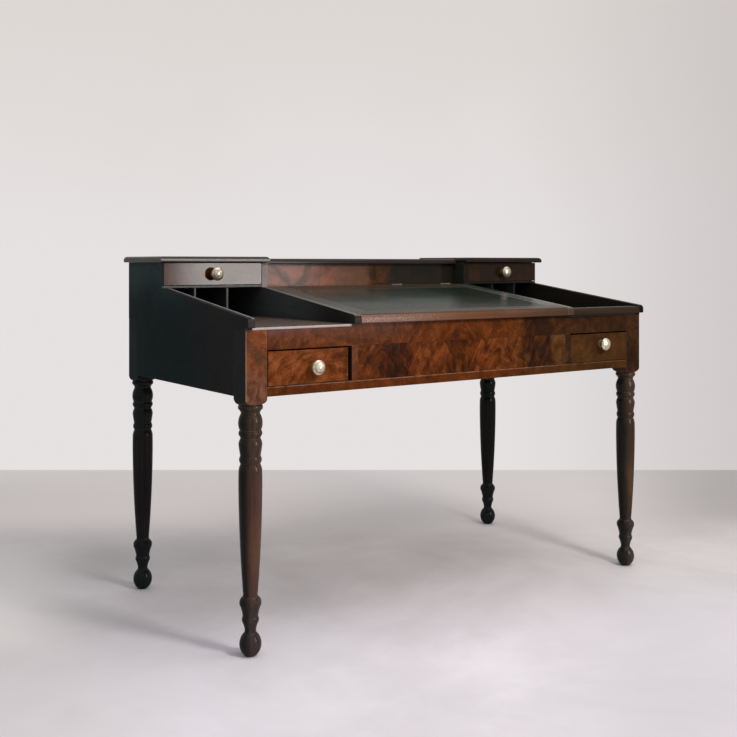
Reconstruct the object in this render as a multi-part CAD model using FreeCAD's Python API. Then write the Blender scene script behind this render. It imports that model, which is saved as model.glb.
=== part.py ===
# Writing desk on four turned legs: sloping leather-lined lid between two open wells,
# a low gallery with two small drawers at the back, and two drawers in the front.
# Frame: X along the front, -Y towards the writer, Z up, origin on the floor at the middle.
import FreeCAD
import Part
import os

# Case, in millimetres
case_width = 1340.0
case_depth = 680.0
centre_width = 716.0
panel_thickness = 18.0
back_thickness = 14.0
back_inset = 6.0

# Legs: a turned length below a square corner post
turned_height = 583.0
turning_radius = 29.0
post_size = 58.0
post_edge_round = 1.5
pommel_height = 15.0

# Front: rails above and below the drawer openings
apron_bottom = 600.0
bottom_rail_height = 22.0
drawer_opening_height = 86.0
top_rail_height = 53.0
rail_thickness = 22.0
front_panel_thickness = 16.0
front_panel_inset = 1.0

# Tenons on rails and panels, and the mortises that take them
tenon_length = 24.0
tenon_thickness = 8.0
tenon_shoulder = 4.0
mortise_play = 0.2

# Sloping edge shared by side panels, partitions and lid, with its rounded front nose
nose_height = 24.0
nose_overhang = 15.0
nose_top_round = 11.0
nose_bottom_round = 3.0
slope_rise = 58.0

# Wells beside the lid
well_floor_thickness = 6.0
lip_height = 20.0
lip_depth = 27.0
divider_thickness = 6.0
divider_setback = 3.0
divider_shares = (0.265, 0.615)

# Gallery along the back
gallery_depth = 235.0
gallery_recess = 56.0
gallery_floor_thickness = 6.0
gallery_opening_height = 62.0
gallery_panel_thickness = 14.0
cap_thickness = 16.0
cap_overhang = 15.0
cap_step = 5.0
cap_top_round = 10.0
cap_bottom_round = 3.0

# Lid and the compartment that it covers
lid_thickness = 20.0
lid_side_gap = 1.5
lid_rest_gap = 0.5
lid_nosing_depth = 30.0
lid_clamp_width = 45.0
lid_back_border = 65.0
lid_tongue_length = 10.0
lid_tongue_thickness = 6.0
lid_tongue_play = 0.2
leather_thickness = 1.2
leather_play = 0.1
compartment_floor_thickness = 10.0
cleat_width = 16.0

# Hinges of the lid: butt hinges with one moving knuckle between two fixed ones, each at
# a share of the lid's half width
hinge_shares = (-0.757, 0.252, 0.785)
hinge_length = 40.0
hinge_gap = 1.0
hinge_rail_thickness = 22.0
hinge_lift = 1.0
knuckle_radius = 2.8
knuckle_play = 0.4
pin_radius = 1.5
pin_play = 0.15
leaf_height = 16.0
leaf_thickness = 1.6
leaf_play = 0.3

# Drawers
drawer_front_thickness = 16.0
drawer_side_thickness = 9.0
drawer_bottom_thickness = 6.0
drawer_bottom_rise = 6.0
drawer_back_drop = 6.0
drawer_groove_depth = 4.0
drawer_groove_play = 0.2
drawer_edge_round = 1.2
drawer_gap = 2.0
drawer_top_gap = 4.0
drawer_side_drop = 8.0
drawer_depth = 430.0
left_drawer_shortfall = 9.0
slide_play = 0.3
gallery_drawer_gap = 1.0
gallery_side_drop = 9.0
gallery_drawer_back_gap = 4.0
front_rub_gap = 0.4

# Dovetails of the drawer sides: blind into the front, through the back. Each row gives the
# shares of the height between which a tail stands at its root.
tail_length = 11.0
tail_flare = 1.5
tail_play = 0.1
tail_shares = ((0.08, 0.32), (0.39, 0.61), (0.68, 0.92))
gallery_tail_shares = ((0.10, 0.42), (0.58, 0.90))

# Runners under the drawers, guides beside them and bearers above
runner_thickness = 18.0
runner_bearing = 14.0
guide_height = 30.0
guide_setback = 60.0

# Brass knobs, each spot a share of its drawer front: outwards from the partition, and up
knob_projection = 28.0
knob_radius = 18.0
knob_spigot_radius = 4.0
knob_spigot_length = 11.0
knob_spigot_play = 0.1
left_knob_shares = (0.435, 0.475)
right_knob_shares = (0.534, 0.625)
gallery_knob_shares = (0.5, 0.5)

# Distance within which two places count as the same
touch = 0.01

# Turning of a leg from the floor up: height share, radius share and bulge share of each
# stretch's end. A bulge above zero swells the stretch into a bead, one below makes a cove.
leg_shares = (
    (0.0, 0.414, 0.0),
    (0.093, 0.483, 0.441),
    (0.103, 0.459, 0.0),
    (0.136, 0.662, -0.033),
    (0.156, 0.631, 0.040),
    (0.163, 0.631, 0.0),
    (0.204, 0.872, -0.030),
    (0.220, 0.872, 0.012),
    (0.236, 0.620, 0.033),
    (0.244, 0.586, 0.0),
    (0.666, 0.959, 0.074),
    (0.729, 0.952, 0.004),
    (0.760, 0.814, 0.041),
    (0.765, 0.814, 0.0),
    (0.793, 0.831, 0.088),
    (0.799, 0.831, 0.0),
    (0.841, 0.959, 0.009),
    (0.864, 0.807, 0.028),
    (0.878, 0.938, -0.020),
    (0.889, 0.938, 0.020),
    (0.897, 0.869, 0.0),
    (0.955, 0.848, 0.124),
    (0.967, 0.776, -0.020),
    (0.981, 0.986, -0.030),
    (0.993, 0.986, 0.020),
    (1.0, 0.914, 0.0),
)
pommel_radius_share = 1.02
pommel_bulge_share = 0.12

# Turning of a knob from its rosette to its crown, in the same form
knob_shares = (
    (0.0, 0.66, 0.0),
    (0.06, 0.66, 0.0),
    (0.14, 0.42, 0.05),
    (0.42, 0.36, -0.05),
    (0.62, 0.90, -0.10),
    (0.76, 0.97, 0.06),
    (0.94, 0.50, 0.10),
    (1.0, 0.10, 0.06),
)

# Places worked out from the sizes above
half_width = case_width / 2
post_inner = half_width - post_size
side_inner = half_width - panel_thickness
part_inner = centre_width / 2
part_outer = part_inner + panel_thickness
front_y = (knob_projection - case_depth) / 2
back_y = front_y + case_depth
front_post_y = front_y + post_size
back_post_y = back_y - post_size
rail_back_y = front_y + rail_thickness
nose_y = front_y - nose_overhang
back_face_y = back_y - back_inset - back_thickness
gallery_y = back_y - gallery_depth
gallery_panel_y = gallery_y + gallery_recess
side_setback_y = gallery_y + drawer_front_thickness + front_rub_gap
opening_bottom = apron_bottom + bottom_rail_height
opening_top = opening_bottom + drawer_opening_height
rail_top = opening_top + top_rail_height
post_top = rail_top - well_floor_thickness
slope_front = rail_top + nose_height
slope_back = slope_front + slope_rise
gallery_floor_top = slope_back + gallery_floor_thickness
cap_bottom = gallery_floor_top + gallery_opening_height
cap_top = cap_bottom + cap_thickness
centre_cap_bottom = cap_bottom - cap_step
lid_half = part_inner - lid_side_gap
lid_panel_half = lid_half - lid_clamp_width
hinge_places = [share * lid_half for share in hinge_shares]
lid_nosing_y = front_y + lid_nosing_depth
pin_y = gallery_y - hinge_gap
lid_back_y = pin_y - hinge_gap / 2
hinge_rail_y = pin_y + hinge_gap / 2


def vec(x, y, z):
    return FreeCAD.Vector(x, y, z)


def block(xs, ys, zs):
    """Straight board between two places along each axis, in either order."""
    low = [min(pair) for pair in (xs, ys, zs)]
    size = [max(pair) - min(pair) for pair in (xs, ys, zs)]
    return Part.makeBox(*size, vec(*low))


def plate(outline, xs):
    """Board cut to an outline of (y, z) corners, as thick as the two places along X."""
    corners = [vec(min(xs), y, z) for y, z in outline]
    face = Part.Face(Part.makePolygon(corners + corners[:1]))
    return face.extrude(vec(max(xs) - min(xs), 0, 0))


def slope_z(y, drop=0.0):
    """Height of the sloping edge at a depth, less a drop below it."""
    return slope_front + (y - front_y) * slope_rise / (gallery_y - front_y) - drop


pin_z = slope_z(pin_y) + hinge_lift


def sloped_slab(xs, ys, drops):
    """Board that lies along the slope, between two drops below it."""
    outline = [(ys[0], slope_z(ys[0], drops[1])), (ys[1], slope_z(ys[1], drops[1])),
               (ys[1], slope_z(ys[1], drops[0])), (ys[0], slope_z(ys[0], drops[0]))]
    return plate(outline, xs)


def across(side, *places):
    """Places along X on the left (-1) or the right (+1) half of the desk."""
    return [side * place for place in places]


def round_bar(x_start, x_end, radius):
    """Cylinder along X about the hinge pin's line."""
    return Part.makeCylinder(radius, x_end - x_start, vec(x_start, pin_y, pin_z), vec(1, 0, 0))


def edges_at(shape, x=None, y=None, z=None):
    """Edges whose ends all lie at the coordinates that are given."""
    def on(end):
        wanted = ((end.X, x), (end.Y, y), (end.Z, z))
        return all(place is None or abs(value - place) < touch for value, place in wanted)
    return [edge for edge in shape.Edges if all(on(end) for end in edge.Vertexes)]


def turned(shares, length, radius):
    """Solid of revolution along +Z from rows of height, radius and bulge shares."""
    points = [vec(radius * wide, 0, length * high) for high, wide, _ in shares]
    edges = [Part.makeLine(vec(0, 0, 0), points[0])]
    for start, end, (_, _, bulge) in zip(points, points[1:], shares[1:]):
        middle = (start + end) / 2 + vec(radius * bulge, 0, 0)
        straight = bulge == 0
        edge = Part.makeLine(start, end) if straight else Part.Arc(start, middle, end).toShape()
        edges.append(edge)
    if points[-1].x > 0:
        edges.append(Part.makeLine(points[-1], vec(0, 0, length)))
    edges.append(Part.makeLine(vec(0, 0, length), vec(0, 0, 0)))
    return Part.Face(Part.Wire(edges)).revolve(vec(0, 0, 0), vec(0, 0, 1), 360)


def nosed(shape, top, underside):
    """Round the front nose of a board between its top and its underside."""
    rounded = shape.makeFillet(nose_top_round, edges_at(shape, y=nose_y, z=top))
    return rounded.makeFillet(nose_bottom_round, edges_at(rounded, y=nose_y, z=underside))


# Tenons: each is made as it is on its board, and once more with play to cut its mortise
bottom_rail_zs = (apron_bottom, opening_bottom)
top_rail_zs = (opening_top, post_top)
panel_zs = (apron_bottom, post_top)


def tenon_zs(zs, play):
    return (zs[0] + tenon_shoulder - play, zs[1] - tenon_shoulder + play)


def tenon_width(middle, play):
    half = tenon_thickness / 2 + play
    return (middle - half, middle + half)


def rail_tenon(side, zs, play=0.0):
    return block(across(side, post_inner, post_inner + tenon_length + play),
                 tenon_width(front_y + rail_thickness / 2, play), tenon_zs(zs, play))


def back_tenon(side, play=0.0):
    return block(across(side, post_inner, post_inner + tenon_length + play),
                 tenon_width(back_face_y + back_thickness / 2, play), tenon_zs(panel_zs, play))


def side_tenon(side, end, play=0.0):
    start = front_post_y if end < 0 else back_post_y
    return block(across(side, *tenon_width(half_width - panel_thickness / 2, play)),
                 (start, start + end * (tenon_length + play)), tenon_zs(panel_zs, play))


# Case

def square_post():
    """Corner post, rounded below into the pommel where the turning starts."""
    half = post_size / 2
    half_diagonal = half * 2 ** 0.5
    post = block((-half, half), (-half, half), (turned_height, post_top))
    corners = [edge for x in (-half, half) for y in (-half, half) for edge in edges_at(post, x, y)]
    low = vec(turning_radius * pommel_radius_share, 0, turned_height)
    high = vec(half_diagonal, 0, turned_height + pommel_height)
    middle = (low + high) / 2 + vec(turning_radius * pommel_bulge_share, 0, 0)
    foot = vec(0, 0, turned_height)
    head = vec(0, 0, post_top)
    rim = vec(half_diagonal, 0, post_top)
    outline = [Part.makeLine(foot, low), Part.Arc(low, middle, high).toShape(),
               Part.makeLine(high, rim), Part.makeLine(rim, head), Part.makeLine(head, foot)]
    pommel = Part.Face(Part.Wire(outline)).revolve(foot, vec(0, 0, 1), 360)
    return post.makeFillet(post_edge_round, corners).common(pommel)


def leg(side, end):
    """Turned leg and its post in one piece, with the mortises of its corner."""
    shape = turned(leg_shares, turned_height, turning_radius).fuse(square_post())
    half = post_size / 2
    depth = front_y + half if end < 0 else back_y - half
    shape.translate(vec(side * (half_width - half), depth, 0))
    tenons = [side_tenon(side, end, mortise_play)]
    if end < 0:
        tenons += [rail_tenon(side, zs, mortise_play) for zs in (bottom_rail_zs, top_rail_zs)]
    else:
        tenons += [back_tenon(side, mortise_play)]
    return shape.cut(tenons).removeSplitter()


def side_panel(side):
    """End of the case in one board: tenoned between the posts and lying over their tops."""
    outline = [(front_y, post_top), (front_y, rail_top), (nose_y, rail_top), (nose_y, slope_z(nose_y)),
               (gallery_y, slope_back), (side_setback_y, slope_back), (side_setback_y, cap_bottom),
               (back_y, cap_bottom), (back_y, post_top), (back_post_y, post_top),
               (back_post_y, apron_bottom), (front_post_y, apron_bottom), (front_post_y, post_top)]
    board = plate(outline, across(side, side_inner, half_width))
    board = nosed(board, slope_z(nose_y), rail_top)
    return board.fuse([side_tenon(side, end) for end in (-1, 1)]).removeSplitter()


def partition(side):
    """Upright between lid and well, notched round the front rails, up to the cap."""
    outline = [(rail_back_y, apron_bottom), (rail_back_y, opening_bottom), (front_y, opening_bottom),
               (front_y, opening_top), (rail_back_y, opening_top), (rail_back_y, rail_top),
               (nose_y, rail_top), (nose_y, slope_z(nose_y)), (gallery_y, slope_back),
               (gallery_y, cap_bottom), (back_face_y, cap_bottom), (back_face_y, apron_bottom)]
    return nosed(plate(outline, across(side, part_inner, part_outer)), slope_z(nose_y), rail_top)


def bottom_rail():
    rail = block((-post_inner, post_inner), (front_y, rail_back_y), bottom_rail_zs)
    return rail.fuse([rail_tenon(side, bottom_rail_zs) for side in (-1, 1)]).removeSplitter()


def top_rail():
    """Rail over the drawers, let down at both ends for the well floors."""
    ends = block((-post_inner, post_inner), (front_y, rail_back_y), top_rail_zs)
    middle = block((-part_outer, part_outer), (front_y, rail_back_y), (opening_top, rail_top))
    return ends.fuse([middle] + [rail_tenon(side, top_rail_zs) for side in (-1, 1)]).removeSplitter()


def front_panel():
    front = front_y + front_panel_inset
    return block((-part_inner, part_inner), (front, front + front_panel_thickness),
                 (opening_bottom, opening_top))


def back_board_lower():
    board = block((-post_inner, post_inner), (back_face_y, back_face_y + back_thickness), panel_zs)
    return board.fuse([back_tenon(side) for side in (-1, 1)]).removeSplitter()


def back_board_upper():
    """Board behind wells and gallery, let down in the middle for the lower centre cap."""
    ys = (back_face_y, back_face_y + back_thickness)
    board = block((-side_inner, side_inner), ys, (post_top, cap_bottom))
    return board.cut(block((-part_inner, part_inner), ys, (centre_cap_bottom, cap_bottom)))


def compartment_floor():
    return block((-part_inner, part_inner), (rail_back_y, back_face_y),
                 (opening_bottom - compartment_floor_thickness, opening_bottom))


def compartment_cleats():
    """Strips on the partitions that carry the compartment's floor."""
    zs = (apron_bottom, opening_bottom - compartment_floor_thickness)
    return [block(across(side, part_inner - cleat_width, part_inner), (rail_back_y, back_face_y), zs)
            for side in (-1, 1)]


# Wells and gallery

def well_floor(side):
    return block(across(side, part_outer, side_inner), (front_y, back_face_y), (post_top, rail_top))


def well_lip(side):
    """Nosed strip across the front of a well."""
    strip = block(across(side, part_outer, side_inner), (nose_y, nose_y + lip_depth),
                  (rail_top, rail_top + lip_height))
    return nosed(strip, rail_top + lip_height, rail_top)


def divider_places(side):
    """Places along X of the thin dividers, counted from the side panel inwards."""
    well_width = side_inner - part_outer
    return [side * (side_inner - share * well_width) for share in divider_shares]


def dividers(side):
    half = divider_thickness / 2
    ys = (gallery_y + divider_setback, back_face_y)
    return [block((x - half, x + half), ys, (rail_top, slope_back)) for x in divider_places(side)]


def gallery_floor(side):
    """Board under a gallery drawer, with an ear that covers the side panel's front edge."""
    zs = (slope_back, gallery_floor_top)
    board = block(across(side, part_outer, side_inner), (gallery_y, back_face_y), zs)
    ear = block(across(side, side_inner, half_width), (gallery_y, side_setback_y), zs)
    return board.fuse(ear).removeSplitter()


def gallery_panel():
    return block((-part_inner, part_inner), (gallery_panel_y, gallery_panel_y + gallery_panel_thickness),
                 (slope_back - hinge_rail_thickness, centre_cap_bottom))


def cap(xs, front, bottom_z, rounded_ends):
    """Top board of the gallery, with its front and free ends rounded over."""
    top_z = bottom_z + cap_thickness
    board = block(xs, (front, back_y), (bottom_z, top_z))
    top = edges_at(board, y=front, z=top_z)
    bottom = edges_at(board, y=front, z=bottom_z)
    for x in rounded_ends:
        top += edges_at(board, x=x, z=top_z)
        bottom += edges_at(board, x=x, z=bottom_z)
    rounded = board.makeFillet(cap_bottom_round, bottom)
    corners = [edge for edge in rounded.Edges
               if any(edge.CenterOfMass.isEqual(kept.CenterOfMass, cap_bottom_round) for kept in top)]
    return rounded.makeFillet(cap_top_round, corners)


def end_cap(side):
    """Cap of a gallery box, overhanging its front and its outer end."""
    ends = across(side, part_inner, half_width + cap_overhang)
    return cap(ends, gallery_y - cap_overhang, cap_bottom, ends)


def centre_cap():
    """Lower cap between the boxes, clear of the lid when it leans back."""
    return cap((-part_inner, part_inner), gallery_panel_y - cap_overhang, centre_cap_bottom, ())


# Lid: board between two clamps, a nosing along the front, and leather let into the board

leather_ys = (lid_nosing_y, lid_back_y - lid_back_border)
tongue_drops = ((lid_thickness - lid_tongue_thickness) / 2, (lid_thickness + lid_tongue_thickness) / 2)
tongue_half = lid_panel_half + lid_tongue_length


def hinge_clearance():
    """Room round the knuckles and leaves of all hinges, cut from the wood on both sides."""
    leaf_depth = leaf_thickness + leaf_play / 2
    rooms = []
    for place in hinge_places:
        start = place - hinge_length / 2
        end = place + hinge_length / 2
        rooms.append(round_bar(start - knuckle_play, end + knuckle_play, knuckle_radius + knuckle_play))
        rooms.append(block((start, end), (pin_y - leaf_depth, pin_y + leaf_depth),
                           (pin_z - leaf_height, pin_z)))
    return rooms


def lid_board():
    board = sloped_slab((-lid_panel_half, lid_panel_half), (lid_nosing_y, lid_back_y), (0, lid_thickness))
    tongue = sloped_slab((-tongue_half, tongue_half), (lid_nosing_y, lid_back_y), tongue_drops)
    recess = sloped_slab((-lid_panel_half, lid_panel_half), leather_ys, (0, leather_thickness))
    return board.fuse(tongue).cut([recess] + hinge_clearance()).removeSplitter()


def lid_clamp(side):
    """Cross-grained end of the lid, grooved for the board's tongue."""
    clamp = sloped_slab(across(side, lid_panel_half, lid_half), (lid_nosing_y, lid_back_y),
                        (0, lid_thickness))
    play = lid_tongue_play
    groove = sloped_slab(across(side, lid_panel_half, tongue_half + play), (lid_nosing_y, lid_back_y),
                         (tongue_drops[0] - play, tongue_drops[1] + play))
    return clamp.cut([groove] + hinge_clearance()).removeSplitter()


def lid_nosing():
    underside = rail_top + lid_rest_gap
    outline = [(nose_y, underside), (lid_nosing_y, underside), (lid_nosing_y, slope_z(lid_nosing_y)),
               (nose_y, slope_z(nose_y))]
    return nosed(plate(outline, (-lid_half, lid_half)), slope_z(nose_y), underside)


def lid_leather():
    half = lid_panel_half - leather_play
    return sloped_slab((-half, half), (leather_ys[0] + leather_play, leather_ys[1] - leather_play),
                       (0, leather_thickness))


# Hinges

def hinge_rail():
    """Fixed strip behind the lid that carries the hinges."""
    rail = block((-part_inner, part_inner), (hinge_rail_y, gallery_panel_y),
                 (slope_back - hinge_rail_thickness, slope_back))
    return rail.cut(hinge_clearance()).removeSplitter()


def knuckle_spans(place):
    """Start and end along X of a hinge's knuckles: fixed, moving, fixed."""
    length = hinge_length / 3
    start = place - hinge_length / 2
    return [(start + n * length + leaf_play / 2, start + (n + 1) * length - leaf_play / 2)
            for n in range(3)]


def hinge_leaf(place, own, other, lean):
    """Leaf on one side of the pin (lean -1 lid, +1 rail) with its own knuckles."""
    ends = (place - hinge_length / 2, place + hinge_length / 2)
    ys = (pin_y + lean * leaf_play / 2, pin_y + lean * (leaf_play / 2 + leaf_thickness))
    leaf = block(ends, ys, (pin_z - leaf_height, pin_z))
    gaps = [round_bar(start - leaf_play, end + leaf_play, knuckle_radius + knuckle_play)
            for start, end in other]
    knuckles = [round_bar(start, end, knuckle_radius) for start, end in own]
    bore = round_bar(*ends, pin_radius + pin_play)
    return leaf.cut(gaps).fuse(knuckles).cut(bore).removeSplitter()


def hinge_leaves(lean):
    leaves = []
    for place in hinge_places:
        first, middle, last = knuckle_spans(place)
        own, other = ([middle], [first, last]) if lean < 0 else ([first, last], [middle])
        leaves.append(hinge_leaf(place, own, other, lean))
    return leaves


def hinge_pins():
    return [round_bar(place - hinge_length / 2, place + hinge_length / 2, pin_radius)
            for place in hinge_places]


# Drawers

def knob(x, face_y, z):
    """Turned brass knob whose spigot enters the drawer's front."""
    shape = turned(knob_shares, knob_projection, knob_radius)
    shape.rotate(vec(0, 0, 0), vec(1, 0, 0), 90)
    shape.translate(vec(x, face_y, z))
    return shape.fuse(knob_spigot(x, face_y, z)).removeSplitter()


def knob_spigot(x, face_y, z, play=0.0):
    return Part.makeCylinder(knob_spigot_radius + play, knob_spigot_length + play,
                             vec(x, face_y, z), vec(0, 1, 0))


def part_way(ends, share):
    return ends[0] + share * (ends[1] - ends[0])


def tails(xs, root, tip, zs, shares, play=0.0):
    """Dovetails on the end of a drawer side, wider at the tip, or with play their sockets."""
    height = zs[1] - zs[0]
    reach = tip + play if tip > root else tip - play
    solids = []
    for share_low, share_high in shares:
        low = zs[0] + share_low * height - play
        high = zs[0] + share_high * height + play
        outline = [(root, low), (reach, low - tail_flare), (reach, high + tail_flare), (root, high)]
        solids.append(plate(outline, (min(xs) - play, max(xs) + play)))
    return solids


def drawer(front_xs, front_zs, face_y, box_xs, box_zs, depth, knob_spot, shares):
    """Pieces of one drawer: front, dovetailed sides and back, bottom and knob."""
    left, right = min(box_xs), max(box_xs)
    inner_left = left + drawer_side_thickness
    inner_right = right - drawer_side_thickness
    front_back_y = face_y + drawer_front_thickness
    end_y = face_y + depth
    back_ys = (end_y - drawer_side_thickness, end_y)
    bottom_z = box_zs[0] + drawer_bottom_rise
    bottom_top = bottom_z + drawer_bottom_thickness
    back_zs = (bottom_top + drawer_groove_play, box_zs[1] - drawer_back_drop)
    side_xs = ((left, inner_left), (inner_right, right))
    knob_x = part_way(front_xs, knob_spot[0])
    knob_z = part_way(front_zs, knob_spot[1])

    def bottom_board(play):
        grip = drawer_groove_depth + play
        return block((inner_left - grip, inner_right + grip), (front_back_y - grip, end_y),
                     (bottom_z - play, bottom_top + play))

    def front_tails(xs, play=0.0):
        return tails(xs, front_back_y, front_back_y - tail_length, box_zs, shares, play)

    def back_tails(xs, play=0.0):
        return tails(xs, *back_ys, back_zs, shares, play)

    groove = bottom_board(drawer_groove_play)
    front = block(front_xs, (face_y, front_back_y), front_zs)
    front = front.makeFillet(drawer_edge_round, edges_at(front, y=face_y))
    front = front.cut([groove, knob_spigot(knob_x, face_y, knob_z, knob_spigot_play)])
    back = block((left, right), back_ys, back_zs)
    sides = []
    for xs in side_xs:
        front = front.cut(front_tails(xs, tail_play))
        notch = block(xs, back_ys, (back_zs[0] - tail_play, back_zs[1] + tail_play))
        board = block(xs, (front_back_y, end_y), box_zs).cut(notch.cut(back_tails(xs)))
        sides.append(board.fuse(front_tails(xs)).cut(groove).removeSplitter())
        back = back.cut(back_tails(xs, tail_play))
    return {"front": [front], "sides": sides, "back": [back], "bottom": [bottom_board(0)],
            "knob": [knob(knob_x, face_y, knob_z)]}


def front_drawer(side, shortfall, knob_spot):
    """Drawer under a well; a shortfall leaves it short of the partition."""
    xs = across(side, part_outer + drawer_gap + shortfall, post_inner - drawer_gap)
    front_zs = (opening_bottom + drawer_gap, opening_top - drawer_top_gap)
    box_zs = (opening_bottom + slide_play, opening_top - drawer_side_drop)
    return drawer(xs, front_zs, front_y, xs, box_zs, drawer_depth, knob_spot, tail_shares)


def gallery_drawer(side):
    """Small drawer over a well, its front lying over the side panel's edge."""
    front_xs = across(side, part_outer + gallery_drawer_gap, half_width)
    front_zs = (gallery_floor_top + gallery_drawer_gap, cap_bottom - gallery_drawer_gap)
    box_xs = across(side, part_outer + gallery_drawer_gap, side_inner - gallery_drawer_gap)
    box_zs = (gallery_floor_top + slide_play, cap_bottom - gallery_side_drop)
    depth = back_face_y - gallery_y - gallery_drawer_back_gap
    return drawer(front_xs, front_zs, gallery_y, box_xs, box_zs, depth, gallery_knob_shares,
                  gallery_tail_shares)


def drawer_runners(side, shortfall):
    """Runners, guides and bearers of one front drawer, fixed to side panel and partition."""
    runner_zs = (opening_bottom - runner_thickness, opening_bottom)
    bearer_zs = (opening_top, post_top)
    outer_xs = across(side, post_inner - runner_bearing, side_inner)
    outer_ys = (front_post_y, back_post_y)
    inner_xs = across(side, part_outer, part_outer + drawer_gap + shortfall + runner_bearing)
    inner_ys = (rail_back_y, back_face_y)
    guide_zs = (opening_bottom, opening_bottom + guide_height)
    strips = [block(outer_xs, outer_ys, runner_zs), block(inner_xs, inner_ys, runner_zs),
              block(outer_xs, outer_ys, bearer_zs), block(inner_xs, inner_ys, bearer_zs),
              block(across(side, post_inner, side_inner), outer_ys, guide_zs)]
    if shortfall > 0:
        strips.append(block(across(side, part_outer, part_outer + shortfall),
                            (front_y + guide_setback, back_face_y), guide_zs))
    return strips


# Every piece under its name
side_names = {-1: "left", 1: "right"}
end_names = {-1: "front", 1: "back"}
shortfalls = {-1: left_drawer_shortfall, 1: 0.0}
knob_spots = {-1: left_knob_shares, 1: right_knob_shares}

pieces = {
    "bottom_rail": [bottom_rail()],
    "top_rail": [top_rail()],
    "front_panel": [front_panel()],
    "back_board_lower": [back_board_lower()],
    "back_board_upper": [back_board_upper()],
    "compartment_floor": [compartment_floor()],
    "compartment_cleats": compartment_cleats(),
    "well_lip_right": [well_lip(1)],
    "gallery_panel": [gallery_panel()],
    "cap_centre": [centre_cap()],
    "lid_board": [lid_board()],
    "lid_nosing": [lid_nosing()],
    "lid_leather": [lid_leather()],
    "hinge_rail": [hinge_rail()],
    "hinge_leaves_fixed": hinge_leaves(1),
    "hinge_leaves_lid": hinge_leaves(-1),
    "hinge_pins": hinge_pins(),
}
for side, side_name in side_names.items():
    for end, end_name in end_names.items():
        pieces[f"leg_{end_name}_{side_name}"] = [leg(side, end)]
    pieces[f"side_panel_{side_name}"] = [side_panel(side)]
    pieces[f"partition_{side_name}"] = [partition(side)]
    pieces[f"well_floor_{side_name}"] = [well_floor(side)]
    pieces[f"dividers_{side_name}"] = dividers(side)
    pieces[f"gallery_floor_{side_name}"] = [gallery_floor(side)]
    pieces[f"cap_{side_name}"] = [end_cap(side)]
    pieces[f"lid_clamp_{side_name}"] = [lid_clamp(side)]
    pieces[f"drawer_runners_{side_name}"] = drawer_runners(side, shortfalls[side])
    for part_name, solids in front_drawer(side, shortfalls[side], knob_spots[side]).items():
        pieces[f"front_drawer_{side_name}_{part_name}"] = solids
    for part_name, solids in gallery_drawer(side).items():
        pieces[f"gallery_drawer_{side_name}_{part_name}"] = solids

os.makedirs("parts", exist_ok=True)
for name, solids in pieces.items():
    shape = solids[0] if len(solids) == 1 else Part.makeCompound(solids)
    shape.exportStep(f"parts/{name}.step")
    print(name, len(shape.Solids), shape.isValid(), round(shape.Volume))
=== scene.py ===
# %% [markdown]
# # A mahogany writing desk, dressed in Blender
# The desk's pieces come ready made from CAD: legs, panels, drawers, lid and hinges, each a
# mesh of its own in metres. This lesson gives every piece its wood, leather or brass, takes a
# fine arris off the boards, adds the screws and nails that CAD leaves out, and lights the desk
# like a plain studio picture. The pieces themselves stay where they are.

# %% Load the desk
import math
import bpy
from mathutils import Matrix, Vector


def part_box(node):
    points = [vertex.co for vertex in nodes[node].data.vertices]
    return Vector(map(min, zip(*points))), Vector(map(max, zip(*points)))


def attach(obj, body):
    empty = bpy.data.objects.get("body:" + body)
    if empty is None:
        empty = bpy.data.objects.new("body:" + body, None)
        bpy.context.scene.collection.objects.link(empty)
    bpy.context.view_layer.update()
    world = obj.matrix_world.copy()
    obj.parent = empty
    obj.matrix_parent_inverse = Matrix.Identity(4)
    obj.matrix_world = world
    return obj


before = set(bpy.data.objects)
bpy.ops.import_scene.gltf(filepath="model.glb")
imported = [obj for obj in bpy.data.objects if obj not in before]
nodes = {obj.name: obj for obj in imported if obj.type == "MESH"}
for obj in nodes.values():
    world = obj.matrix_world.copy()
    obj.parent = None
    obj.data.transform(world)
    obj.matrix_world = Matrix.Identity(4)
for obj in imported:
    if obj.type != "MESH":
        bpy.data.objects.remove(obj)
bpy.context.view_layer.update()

# %% [markdown]
# ## The camera
# The picture is taken from the left front corner, level with the top of the desk, and upright
# lines stay upright in it. A level camera does that, and a lens shift moves the view down
# instead of tilting it. Tilting the camera would make the legs lean together.

# %% Camera
eye = Vector((-1.8305, -2.4618, 0.9092))
heading = math.radians(35.15)
sensor_mm = 36.0
lens_mm = 51.73
lens_shift = -0.143
camera_data = bpy.data.cameras.new("desk_camera")
camera_data.sensor_width = sensor_mm
camera_data.lens = lens_mm
camera_data.shift_y = lens_shift
camera = bpy.data.objects.new("desk_camera", camera_data)
camera.location = eye
camera.rotation_euler = (math.pi / 2, 0.0, -heading)
bpy.context.scene.collection.objects.link(camera)
bpy.context.scene.camera = camera
ahead = Vector((math.sin(heading), math.cos(heading), 0.0))
print("camera looks along", tuple(round(v, 3) for v in ahead))

# %% [markdown]
# ## Shader sums in Python
# A material is a graph of nodes. Wiring it by hand is slow to read, so one small class stands
# for a socket and lets Python's own signs build the graph: `1 - mask` adds a Math node, and
# `add` makes any other node from its type, its settings and its inputs.

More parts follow.
